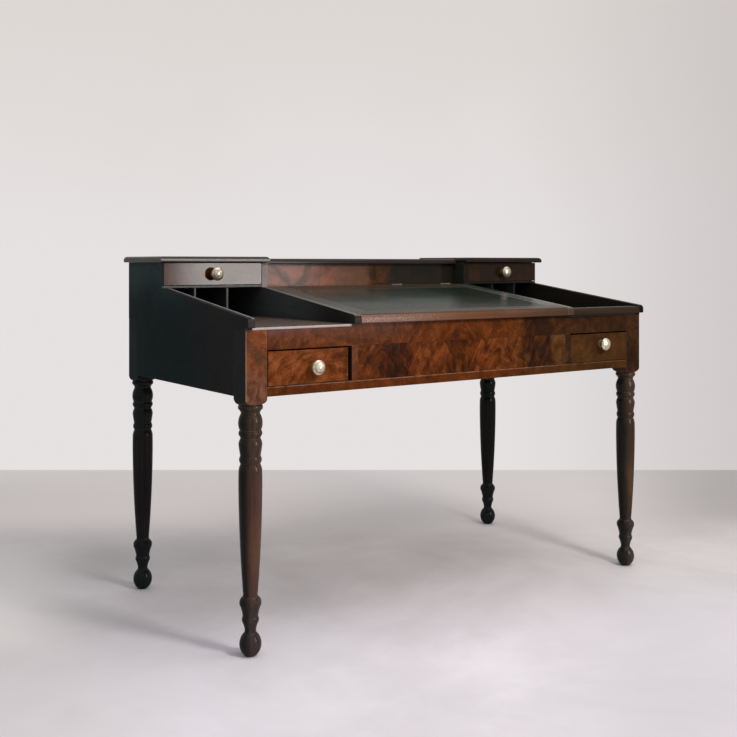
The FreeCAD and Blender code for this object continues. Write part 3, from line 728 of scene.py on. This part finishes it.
def leg_wood(name, seed, hand, tones, rings=None, post_depth=None, olive=0.0, low_grey=0.0):
    """Turned mahogany; a front leg's post has a veneered face of the given depth of colour."""
    made, place = new_material(name)
    parts = along_grain(place, "z", seed)
    wander = fibres(parts, along=2.0, across=6.0)
    stripe = fibres(parts, along=3.0, across=120.0, detail=3.0, roughness=0.6, drift=wander * 0.02)
    smear = fibres(parts, along=12.0, across=22.0, detail=4.0, roughness=0.6)
    pore = pores(parts)
    tone = (stripe * 0.8 + wander * 0.7 - 0.25).step(0.2, 0.8)
    height = place.split()[2]
    post = height.step(0.578, 0.590)
    if post_depth:
        ground = front_turning(place, tone, smear, height, tones, rings, olive)
        veneer = post_veneer(place, seed, smear, height, post_depth, olive, low_grey)
        ground = (post * looks_towards(place, "y", -1.0)).colour(ground, veneer)
    else:
        ground = back_turning(tone, height, tones)
    outer = post * looks_towards(place, "x", hand)
    ground = outer.colour(ground, side_shade(place))
    ground = (pore * 0.5).colour(ground, leg_pore)
    rub = edge_mask(place, "leg") * smear.step(0.30, 0.56) * (1.0 - outer) * 0.6
    ground = rub.colour(ground, leg_rub)
    ends = height.step(0.42, 0.47) + height.step(0.08, 0.16, 1.0, 0.0)
    stem_coat = ends * ring_coat + (front_coat if post_depth else back_coat)
    coat = (1.15 - smear * 0.5) * (stem_coat - post * (stem_coat - post_coat)) * (1.0 - outer * 0.9)
    relief = stripe * 0.3 - pore * 0.7 + smear * 0.5
    shader = place.add("ShaderNodeBsdfPrincipled", Base_Color=ground,
                       Roughness=0.19 + smear * 0.16 + outer * 0.2, Specular_IOR_Level=0.02,
                       Coat_Weight=coat, Coat_Roughness=0.17,
                       Normal=bumped(place, relief, strength=0.15, distance=0.0005))
    end_with(shader)
    return made


print("leg wood ready")

# %% [markdown]
# ## Plain wood
# Inside, where nobody looks, the maker used a plain pale wood without polish: drawer sides and
# bottoms, runners and back boards. Its year rings are a slow noise folded back and forth into
# lines. A Wave texture would draw the rings too, but all of one width.

# %% Plain wood
def plain_wood(name, along, seed, deep=(0.17, 0.10, 0.055), warm=(0.36, 0.24, 0.14)):
    made, place = new_material(name)
    parts = along_grain(place, along, seed)
    wander = fibres(parts, along=2.2, across=5.0)
    rings = fibres(parts, along=0.7, across=46.0, drift=wander * 0.05)
    line = rings.sum("PINGPONG", rings * 6.0, 1.0).step(0.5, 1.0)
    fibre = fibres(parts, along=20.0, across=520.0)
    stain = fibres(parts, along=5.0, across=7.0, detail=4.0, roughness=0.6)
    tone = line * 0.5 + fibre * 0.35 + 0.1
    ground = tone.colour(warm, deep)
    ground = (stain.step(0.5, 0.75) * 0.55).colour(ground, tuple(0.45 * value for value in deep))
    rub = edge_mask(place, "plain") * stain.step(0.35, 0.6) * 0.3
    ground = rub.colour(ground, tuple(1.3 * value for value in warm))
    shader = place.add("ShaderNodeBsdfPrincipled", Base_Color=ground, Roughness=0.62 + stain * 0.2,
                       Specular_IOR_Level=0.3,
                       Normal=bumped(place, fibre * 0.5 - line * 0.4, strength=0.25, distance=0.0005))
    end_with(shader)
    return made


print("plain wood ready")

# %% [markdown]
# ## Leather
# The lid is lined with dark green leather that has gone glossy with use. Its fine pebbles are
# cells of a Voronoi texture, and the creases between them are the cells' edges. A noise alone
# would look like dust. The gloss is strongest at the back on the left.

# %% Leather
leather_deep, leather_pale = (0.018, 0.026, 0.021), (0.049, 0.063, 0.053)
leather_right, leather_front = (0.007, 0.011, 0.007), (0.012, 0.013, 0.010)
leather_crease, leather_scuff = (0.008, 0.012, 0.010), (0.10, 0.11, 0.09)
pebbles_per_metre = 620.0


def green_leather(name):
    made, place = new_material(name)
    x, y, z = place.split()
    pebble = place.add("ShaderNodeTexVoronoi", {"feature": "DISTANCE_TO_EDGE"}, Vector=place,
                       Scale=pebbles_per_metre)
    crease = pebble.step(0.0, 0.12)
    worn = place.join(x * 6.0, y * 9.0, 2.0).noise(5.0, 0.6)
    fine = place.join(x * 90.0, y * 90.0, 5.0).noise(3.0, 0.6)
    ground = (worn * 0.7 + fine * 0.3).step(0.3, 0.75).colour(leather_deep, leather_pale)
    # Painted reflection: the right part is darker, where the dark gallery is mirrored in the leather.
    ground = (between(place, "x", 0.00, 0.22) * 0.8).colour(ground, leather_right)
    ground = (between(place, "y", -0.12, -0.29) * 0.45).colour(ground, leather_front)
    ground = ((1.0 - crease) * 0.5).colour(ground, leather_crease)
    scuff = worn.step(0.58, 0.72) * fine.step(0.5, 0.7) * 0.4
    ground = scuff.colour(ground, leather_scuff)
    gloss = between(place, "x", 0.24, -0.04) * 0.52 + 0.12
    gloss = gloss * (between(place, "y", -0.29, -0.06) * 0.82 + 0.18)
    shader = place.add("ShaderNodeBsdfPrincipled", Base_Color=ground,
                       Roughness=0.13 + worn * 0.10 + scuff * 0.2, Specular_IOR_Level=0.008,
                       Coat_Weight=gloss, Coat_Roughness=0.14,
                       Normal=bumped(place, crease * 0.6 + fine * 0.5, strength=0.05, distance=0.0002))
    end_with(shader)
    return made


print("leather ready")

# %% [markdown]
# ## Brass
# The knobs are cast brass, bright on the crown where hands polish them, and brown in the neck
# and in the turned ring: patina in those hollows, with painted shade that is heaviest on the
# ring's lower half. One bright metal all over would look new. Tarnish is a mask: it makes the
# brass darker, rougher and less like a metal. The same finish, with other colours, serves for
# hinges, screws and nails.

# %% Brass
neck_start, neck_end = 0.0175, 0.0115


def crown_share(place, knob):
    """Distance from a knob's axis as a share of its radius, and height on the crown from -1 to 1."""
    low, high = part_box(knob)
    middle, radius = (low + high) / 2, (high.z - low.z) / 2
    x, y, z = place.split()
    across, rise = abs(x) - abs(middle.x), z - middle.z
    return (across * across + rise * rise) ** 0.5 / radius, rise / radius


def brass(name, bright=(0.70, 0.63, 0.48), dull=(0.15, 0.115, 0.06), rough=0.36, knob=None, face=None):
    """Old brass. A knob that stands on a face is bright on its crown and brown in its neck."""
    made, place = new_material(name)
    cloud = place.noise(4.0, 0.6, scale=140.0)
    spot = place.noise(2.0, scale=900.0)
    tarnish = cloud.step(0.42, 0.70) * 0.55 + spot.step(0.55, 0.78) * 0.25
    if knob:
        neck = between(place, "y", face - neck_start, face - neck_end)
        tarnish = tarnish.sum("MAXIMUM", tarnish, neck)
        share, rise = crown_share(place, knob)
        # Patina in the ring, with painted shade that is heavier on its lower half.
        ring = share.step(0.54, 0.64) * share.step(0.70, 0.80, 1.0, 0.0) * rise.step(-0.4, 0.5, 0.95, 0.3)
        tarnish = tarnish.sum("MAXIMUM", tarnish, ring)
    shader = place.add("ShaderNodeBsdfPrincipled", Base_Color=tarnish.colour(bright, dull),
                       Metallic=0.96 - tarnish * 0.45, Roughness=rough + tarnish * 0.34,
                       Normal=bumped(place, spot * 0.4 + cloud, strength=0.08, distance=0.0003))
    end_with(shader)
    return made


print("brass ready")

# %% [markdown]
# ## Dressing the legs and the case
# Each piece now gets its material. All boards could share one, but most take a material with a
# seed of their own, so that their grain differs. The desk is lighter on its left, so colours come
# in pairs, one for each side: the left-hand colours carry painted highlights and sheen, the
# right-hand ones painted shade.

# %% Legs
hands = {"left": -1.0, "right": 1.0}
# Painted shade: the back legs are nearly black, and the right front leg and its post are darker and more
# olive than the left.
leg_tones = {"front_left": ((0.038, 0.016, 0.012), (0.104, 0.049, 0.037)),
             "front_right": ((0.028, 0.015, 0.008), (0.076, 0.044, 0.025)),
             "back_left": ((0.008, 0.007, 0.007), (0.021, 0.017, 0.017)),
             "back_right": ((0.008, 0.007, 0.006), (0.018, 0.016, 0.014))}
ring_tones = {"left": ((0.024, 0.016, 0.010), (0.070, 0.050, 0.032)),
              "right": ((0.028, 0.014, 0.008), (0.078, 0.042, 0.024))}
post_looks = {"left": {"post_depth": 0.72, "olive": 0.0, "low_grey": 0.7},
              "right": {"post_depth": 0.30, "olive": 0.9, "low_grey": 0.0}}


def dress(material, *names):
    for name in names:
        nodes[name].data.materials.clear()
        nodes[name].data.materials.append(material)
    print(material.name, "on", len(names))


for number, (side, hand) in enumerate(hands.items()):
    dress(leg_wood(f"leg_wood_front_{side}", 3.1 + number, hand, leg_tones[f"front_{side}"],
                   rings=ring_tones[side], **post_looks[side]), f"leg_front_{side}")
    dress(leg_wood(f"leg_wood_back_{side}", 5.1 + number, hand, leg_tones[f"back_{side}"]),
          f"leg_back_{side}")

# %% Sides of the case
up, out = ("z", 1.0), ("y", -1.0)
# Painted light: the left side's crest and nose are paler, as highlight and reflection; the right ones are
# dark, as painted shade.
well_sides = {"left": (night, dusk), "right": ((0.011, 0.010, 0.007), (0.024, 0.022, 0.017))}
nose_tones = {"left": (0.050, 0.042, 0.038), "right": (0.0060, 0.0085, 0.0085)}
crest_tones = {"left": (0.200, 0.180, 0.172), "right": (0.030, 0.028, 0.027)}
crest_strip = (0.6610, 0.6580)
for number, (side, hand) in enumerate(hands.items()):
    inner_strip = ("x", hand * crest_strip[0], hand * crest_strip[1])
    side_faces = [(side_shade, ("x", hand), None), (crest_tones[side], up, inner_strip),
                  (nose_tones[side], out, None)]
    dress(mahogany(f"side_wood_{side}", "y", 11.3 + number, *well_sides[side], coat=0.01, rough=0.42,
                   worn=0.45, pale=(0.20, 0.17, 0.16), gloss=0.01, faces=side_faces), f"side_panel_{side}")

# %% Partitions
# Painted light and shade: the left gallery stile is pale as painted sheen, the right stile dark and olive as
# painted shade; the left crest is paler as painted reflection; the left face inside the well is dark as
# painted shade, and the right one has a pale painted highlight along the lid's edge.
stiles = {"left": stile_figure(8.0, 0.54, 0.0), "right": stile_figure(8.8, 0.30, 0.9)}
gallery_stiles = {"left": (0.310, 0.262, 0.250), "right": (0.012, 0.010, 0.007)}
partition_tones = {"left": ((0.058, 0.067, 0.065), (0.105, 0.118, 0.114)),
                   "right": ((0.022, 0.025, 0.018), (0.040, 0.043, 0.032))}
partition_noses = {"left": (0.010, 0.009, 0.008), "right": (0.085, 0.045, 0.027)}
partition_crests = {"left": (0.110, 0.102, 0.084), "right": (0.017, 0.018, 0.015)}
partition_wear = {"left": 0.5, "right": 0.2}
partition_front = {"left": ((0.020, 0.018, 0.014), ("x", -1.0), ("y", -0.02, -0.26)),
                   "right": ((0.150, 0.135, 0.130), up, ("y", -0.02, -0.20))}
front_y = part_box("front_panel")[0].y
nose_start, nose_end = 0.002, 0.010
before_front = ("y", front_y - nose_start, front_y - nose_end)
in_gallery = ("y", 0.05, 0.08)
for number, side in enumerate(hands):
    partition_faces = [(stiles[side], out, None), (gallery_stiles[side], out, in_gallery),
                       (partition_noses[side], out, before_front), (partition_crests[side], up, None),
                       partition_front[side]]
    dress(mahogany(f"partition_wood_{side}", "y", 14.7 + number, *partition_tones[side], coat=0.05,
                   worn=partition_wear[side], pale=(0.26, 0.21, 0.19), faces=partition_faces),
          f"partition_{side}")

# %% [markdown]
# ## Wells, gallery floors and caps
# The floors of the wells and of the gallery end in thin front edges. On the left they are worn
# pale and carry a painted highlight, on the right they are dark with painted shade. The caps lie
# over everything, and the left one shows a painted highlight and a painted shadow line along its
# moulding. A separate strip for each edge would show its seams, so the edges are faces with
# their own colour.

# %% Wells and dividers
# Painted light: the pale left fronts and edges are painted highlights on worn wood, the dark right ones
# painted shade.
well_fronts = {"left": (0.50, 0.41, 0.395), "right": (0.020, 0.012, 0.008)}
edge_tones = {"left": (0.135, 0.130, 0.128), "right": (0.012, 0.011, 0.010)}
edge_wear_and_highlight = {"left": 0.9, "right": 0.1}
for number, side in enumerate(hands):
    dress(mahogany(f"well_wood_{side}", "y", 16.7 + number, (0.050, 0.036, 0.028), (0.130, 0.092, 0.070),
                   coat=0.25, worn=0.6, pale=(0.34, 0.28, 0.26), faces=[(well_fronts[side], out, None)]),
          f"well_floor_{side}")
    dress(mahogany(f"divider_wood_{side}", "z", 17.9 + number, (0.030, 0.035, 0.035), (0.060, 0.066, 0.064),
                   coat=0.06, worn=edge_wear_and_highlight[side], pale=(0.30, 0.27, 0.26),
                   faces=[(edge_tones[side], out, None)]), f"dividers_{side}", f"gallery_floor_{side}")
dress(mahogany("lip_wood", "x", 28.6, (0.022, 0.013, 0.007), (0.050, 0.029, 0.017), coat=0.05, worn=0.10),
      "well_lip_right")

# %% Caps
cap_tones = ((0.014, 0.009, 0.008), (0.036, 0.022, 0.018))
cap_coats = {"left": 0.28, "right": 0.15}
# Painted highlight and painted shadow: the two lines along the left cap's moulding.
cap_lines = {"left": [((0.300, 0.260, 0.250), out, ("z", 0.9215, 0.9195)),
                      ((0.016, 0.012, 0.011), out, ("z", 0.9170, 0.9150))], "right": []}
for number, side in enumerate(hands):
    dress(mahogany(f"cap_wood_{side}", "x", 21.2 + number, *cap_tones, coat=cap_coats[side],
                   faces=cap_lines[side]), f"cap_{side}")
dress(mahogany("cap_wood_centre", "x", 24.1, *cap_tones, coat=0.25), "cap_centre")

# %% [markdown]
# ## The lid
# The lid is a board with cross-grained clamps at its ends, a thick nosing in front and leather
# let into it. The nosing's left half has pale specks: polish rubbed through, and painted sparkle.
# Its right end is darker as painted shade. Specks drawn by hand would take long, so a fine noise
# picks them.

# %% Lid
speck_ground, speck_pale = (0.165, 0.070, 0.034), (0.430, 0.290, 0.230)


def speckle(place):
    """Pale specks: polish rubbed through, and painted sparkle."""
    return place.noise(3.0, 0.7, scale=420.0).step(0.46, 0.74).colour(speck_ground, speck_pale)


# Painted shade: the nosing darkens towards its right end.
nosing_faces = [((0.046, 0.033, 0.022), up, None), (speckle, out, ("x", -0.02, -0.22)),
                ((0.050, 0.030, 0.016), None, ("x", 0.02, 0.40))]
dress(mahogany("nosing_wood", "x", 27.4, (0.075, 0.028, 0.011), (0.180, 0.072, 0.030), coat=0.28, worn=0.9,
               pale=(0.55, 0.42, 0.38), dull_top=0.9, faces=nosing_faces), "lid_nosing")
for number, side in enumerate(hands):
    dress(mahogany(f"clamp_wood_{side}", "y", 25.5 + number, (0.021, 0.027, 0.021), (0.058, 0.070, 0.057),
                   coat=0.20), f"lid_clamp_{side}")
dress(mahogany("lid_wood", "x", 29.8, (0.026, 0.019, 0.013), (0.075, 0.052, 0.035), coat=0.2),
      "lid_board", "hinge_rail")
dress(green_leather("lid_leather"), "lid_leather")

# %% [markdown]
# ## Veneered fronts
# The panel and the top rail show mirrored leaves, and turn dark and olive on the right as painted
# shade. The drawers and the bottom rail have a quieter figure. One veneer for all would run through
# from piece to piece, which no maker could cut, so each front has its own leaf width, its own slant
# and its own depth.

# %% Fronts
dress(flame_veneer("front_veneer", 2.0, leaf=0.10, start=-0.19, slope=1.9, tones=panel_tones, olive=0.9,
                   figure=1.3, worn=0.0), "front_panel")
dress(flame_veneer("top_rail_veneer", 5.0, leaf=0.2, start=-0.62, slope=1.6, tones=rail_tones, olive=0.9,
                   figure=0.9, coat=0.075, worn=0.0, pink_sheen=0.75, brow=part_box("top_rail")[1].z), "top_rail")
dress(flame_veneer("bottom_rail_veneer", 7.0, leaf=0.9, start=-1.0, slope=0.05, plain=0.46, olive=0.9,
                   figure=0.6, worn=0.5, rim=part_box("bottom_rail")[1].z), "bottom_rail")
dress(flame_veneer("left_drawer_veneer", 9.0, leaf=0.4, start=-0.63, slope=0.75, tones=drawer_tones,
                   figure=1.4), "front_drawer_left_front")
dress(flame_veneer("right_drawer_veneer", 12.0, leaf=0.4, start=0.36, slope=0.5, plain=0.43, olive=1.0,
                   figure=0.75, worn=0.1), "front_drawer_right_front")
dress(flame_veneer("gallery_veneer", 15.0, leaf=0.3, start=-0.225, slope=1.1, plain=0.74, figure=2.4,
                   coat=0.21, worn=0.1, fine=0.4, sheen_fade=0.6, shade=0.96), "gallery_panel")
dress(flame_veneer("gallery_left_veneer", 18.0, leaf=0.6, start=-1.0, slope=0.1, plain=0.28, coat=0.74,
                   figure=0.5, dark_ends=True), "gallery_drawer_left_front")
dress(flame_veneer("gallery_right_veneer", 20.0, leaf=0.6, start=-1.0, slope=0.1, plain=0.30, olive=1.0,
                   coat=0.20, figure=0.4, worn=0.05, shade=0.35), "gallery_drawer_right_front")

# %% [markdown]
# ## Inside and back
# Drawer boxes, runners, the floor under the lid and the back boards are plain wood. One grain
# direction for all would be quicker, but half of the boards would look sawn the wrong way. So
# the grain runs along Y for drawer sides and runners, and along X for everything that crosses.

# %% Plain boards
drawer_seeds = {"front_drawer": 32.2, "gallery_drawer": 32.4}
for number, side in enumerate(hands):
    for kind, first_seed in drawer_seeds.items():
        seed = first_seed + number * 3
        dress(plain_wood(f"{kind}_{side}_sides_wood", "y", seed), f"{kind}_{side}_sides")
        dress(plain_wood(f"{kind}_{side}_cross_wood", "x", seed + 1.4),
              f"{kind}_{side}_back", f"{kind}_{side}_bottom")
    dress(plain_wood(f"runner_wood_{side}", "y", 41.0 + number), f"drawer_runners_{side}")
dress(plain_wood("case_wood", "x", 45.2), "back_board_lower", "compartment_floor", "compartment_cleats")
dress(plain_wood("upper_back_wood", "x", 47.9, (0.15, 0.09, 0.05), (0.32, 0.215, 0.125)), "back_board_upper")

# %% [markdown]
# ## Knobs and hinges
# The knobs of one row are alike, so a row shares a material. It finds the neck from the face
# that the knob stands on, and the ring from the knob's own size. The hinges are nearly black,
# and with the lid closed only their knuckles show.

# %% Brass pieces
hinge_bright, hinge_dull = (0.115, 0.105, 0.085), (0.030, 0.027, 0.021)
dress(brass("hinge_brass", hinge_bright, hinge_dull, rough=0.45), "hinge_leaves_fixed", "hinge_leaves_lid",
      "hinge_pins")
dress(brass("front_knob_brass", knob="front_drawer_left_knob",
            face=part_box("front_drawer_left_front")[0].y),
      "front_drawer_left_knob", "front_drawer_right_knob")
dress(brass("gallery_knob_brass", bright=(0.56, 0.51, 0.40), knob="gallery_drawer_left_knob",
            face=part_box("gallery_drawer_left_front")[0].y),
      "gallery_drawer_left_knob", "gallery_drawer_right_knob")

# %% [markdown]
# ## Arrises
# A maker takes the sharp edge off every board with one stroke of sandpaper, and that narrow edge
# is what catches the light. It could be cut in CAD, edge by edge. Here a fine Bevel does all
# edges of a board at once. A Weld before it joins the mesh's loose faces, and weighted normals
# after it keep the wide faces flat. The turned and flush pieces go without.

# %% Arrises
arris_width = 0.0008
weld_gap = 0.00001
sharp_from = math.radians(40)


def arris(name):
    weld = nodes[name].modifiers.new("weld", "WELD")
    weld.merge_threshold = weld_gap
    bevel = nodes[name].modifiers.new("arris", "BEVEL")
    bevel.width = arris_width
    bevel.segments = 2
    bevel.limit_method = "ANGLE"
    bevel.angle_limit = sharp_from
    normals = nodes[name].modifiers.new("faces", "WEIGHTED_NORMAL")
    normals.keep_sharp = False


without = ("leg_", "hinge_leaves", "hinge_pins", "lid_leather", "front_panel", "top_rail")
boards = [name for name in nodes if not name.startswith(without) and not name.endswith("_knob")]
for name in boards:
    arris(name)
print("arrises on", len(boards), "boards")

# %% [markdown]
# ## Screws and nails
# A butt hinge is held by three countersunk screws in each leaf, and the back boards are nailed
# to the case. Single spheres or discs would look like buttons, so each set is drawn as one
# mesh: rings of points that rise to a low dome, and a dark bar for the slot of a screw. The hinge
# pins tell where the hinges are, and the boards tell how high their nails sit.

# %% Heads
head_sides = 16
dome = ((1.0, 0.0), (0.88, 0.75), (0.45, 1.0))
slot_corners = ((-1, -1), (1, -1), (1, 1), (-1, 1))
slot_length, slot_width, slot_lift = 0.8, 0.13, 1.1
slot_shadow = brass("slot_shadow", (0.020, 0.017, 0.012), (0.010, 0.008, 0.006), rough=0.6)


def dome_head(points, polygons, spot, facing, radius, rise):
    """Adds rings of points that rise to a flat crown, and the faces between them."""
    x, y, z = spot
    first = len(points)
    for share, lift in dome:
        for turn in (2 * math.pi * number / head_sides for number in range(head_sides)):
            points.append((x + radius * share * math.cos(turn), y + facing * rise * lift,
                           z + radius * share * math.sin(turn)))
    for ring in (first, first + head_sides):
        above = ring + head_sides
        for number in range(head_sides):
            after = (number + 1) % head_sides
            polygons.append((ring + number, ring + after, above + after, above + number))
    polygons.append(tuple(range(first + 2 * head_sides, first + 3 * head_sides)))


def slot_bar(points, polygons, spot, facing, radius, rise):
    """Adds a slanting bar just over the crown, for the slot of a screw."""
    x, y, z = spot
    corner = len(points)
    length, width = radius * slot_length, radius * slot_width
    for side_x, side_z in slot_corners:
        points.append((x + side_x * length, y + facing * rise * slot_lift,
                       z + side_z * width + side_x * width))
    polygons.append((corner, corner + 1, corner + 2, corner + 3))


def heads(name, body, spots, facing, radius, rise, finish, slotted=False):
    """Low round heads on a face that looks along Y, to the back for +1 and to the front for -1."""
    points, polygons, bars = [], [], []
    for spot in spots:
        dome_head(points, polygons, spot, facing, radius, rise)
        if slotted:
            bars.append(len(polygons))
            slot_bar(points, polygons, spot, facing, radius, rise)
    if facing > 0:
        polygons = [polygon[::-1] for polygon in polygons]
    mesh = bpy.data.meshes.new(name)
    mesh.from_pydata(points, [], polygons)
    mesh.materials.append(finish)
    mesh.materials.append(slot_shadow)
    for number in bars:
        mesh.polygons[number].material_index = 1
    made = bpy.data.objects.new(name, mesh)
    bpy.context.scene.collection.objects.link(made)
    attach(made, body)
    print(name, "heads:", len(spots))


print("a head has", head_sides * len(dome), "points")

# %% Hinge screws
screw_brass = brass("screw_brass", (0.30, 0.26, 0.17), (0.060, 0.050, 0.034))
screw_radius, screw_rise = 0.0026, 0.00008
screw_spread, screw_drop, middle_lift = 0.0135, 0.0100, 0.0012
leaf_gap = 0.00015
pin_low, pin_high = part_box("hinge_pins")
pin_y, pin_z = (pin_low.y + pin_high.y) / 2, (pin_low.z + pin_high.z) / 2
pin_ends = sorted({round(point.co.x, 4) for point in nodes["hinge_pins"].data.vertices})
hinge_places = [(start + end) / 2 for start, end in zip(pin_ends[0::2], pin_ends[1::2])]
for body, lean in (("lid", 1.0), ("case", -1.0)):
    spots = [(place + along, pin_y - lean * leaf_gap, pin_z - screw_drop + middle_lift * (along == 0.0))
             for place in hinge_places for along in (-screw_spread, 0.0, screw_spread)]
    heads(f"hinge_screws_{body}", body, spots, lean, screw_radius, screw_rise, screw_brass, slotted=True)

# %% Back nails
nail_iron = brass("nail_iron", (0.060, 0.052, 0.046), (0.022, 0.016, 0.012), rough=0.5)
nail_radius, nail_rise = 0.0024, 0.0005
nail_ends = {"back_board_lower": 0.600, "back_board_upper": 0.640}
nail_inner = 0.367
nail_heights = (0.14, 0.5, 0.86)
nail_spots = []
for board, nail_end in nail_ends.items():
    low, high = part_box(board)
    nail_spots += [(x, high.y, low.z + share * (high.z - low.z))
                   for x in (-nail_end, -nail_inner, nail_inner, nail_end) for share in nail_heights]
heads("back_nails", "case", nail_spots, 1.0, nail_radius, nail_rise, nail_iron)

# %% [markdown]
# ## Last step
# The picture is shown without any film look, so the colours come out as they are written.

# %% Finish
bpy.context.scene.view_settings.view_transform = "Standard"
